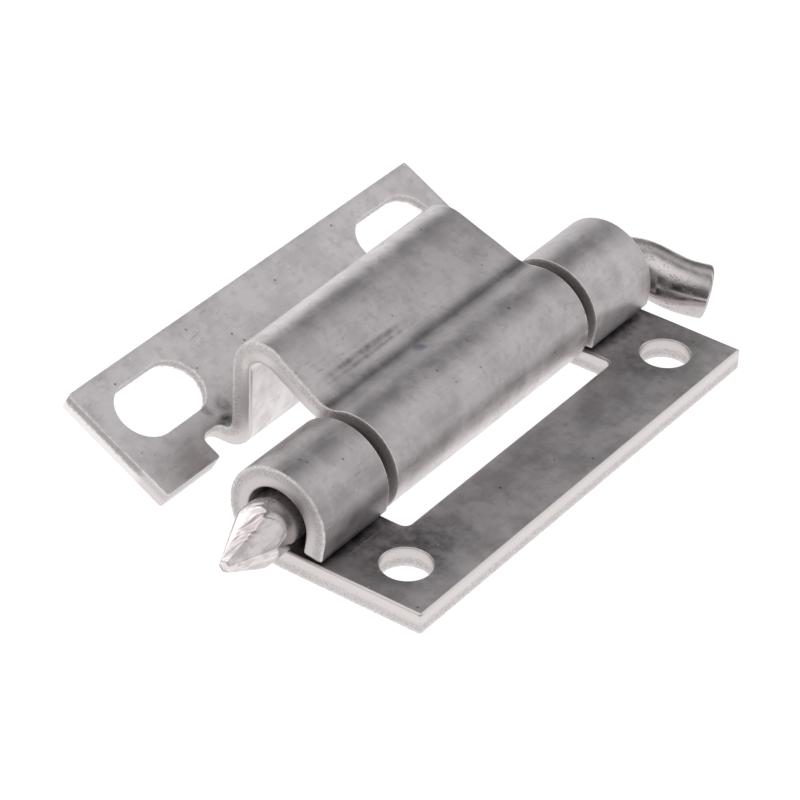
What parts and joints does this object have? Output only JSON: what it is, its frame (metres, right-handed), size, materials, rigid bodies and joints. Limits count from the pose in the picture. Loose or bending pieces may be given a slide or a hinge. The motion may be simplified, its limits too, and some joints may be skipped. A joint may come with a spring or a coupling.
{
  "type": "concealed hinge",
  "caption": "Pressed steel hinge with a flat leaf, a cranked leaf that humps over beside the knuckles, and a loose pin with a pinched point and a cranked end.",
  "frame": {"origin": "on the back of the frame leaf, midway between its two screw holes", "axes": "+Z out of the frame leaf, away from what it is screwed to; +Y along the pin, towards its cranked end; the door leaf lies on the -X side"},
  "size_m": [0.0464, 0.0764, 0.0155],
  "materials": {
    "frame_leaf_steel": "satin, tumbled sheet",
    "door_leaf_steel": "satin, tumbled sheet",
    "pin_steel": "drawn bar, semi-bright"
  },
  "bodies": {
    "frame": {"frame_leaf": "frame_leaf_steel"},
    "door": {"door_leaf": "door_leaf_steel"},
    "pin": {"hinge_pin": "pin_steel"}
  },
  "joints": [
    {"name": "door_swing", "type": "hinge", "parent": "frame", "child": "door", "pos_m": [-0.01205, 0, 0.0056], "axis": [0, 1, 0], "range_deg": [-138, 147]},
    {"name": "pin_draw", "type": "slide", "parent": "frame", "child": "pin", "axis": [0, 1, 0], "range_m": [0, 0.068]}
  ]
}
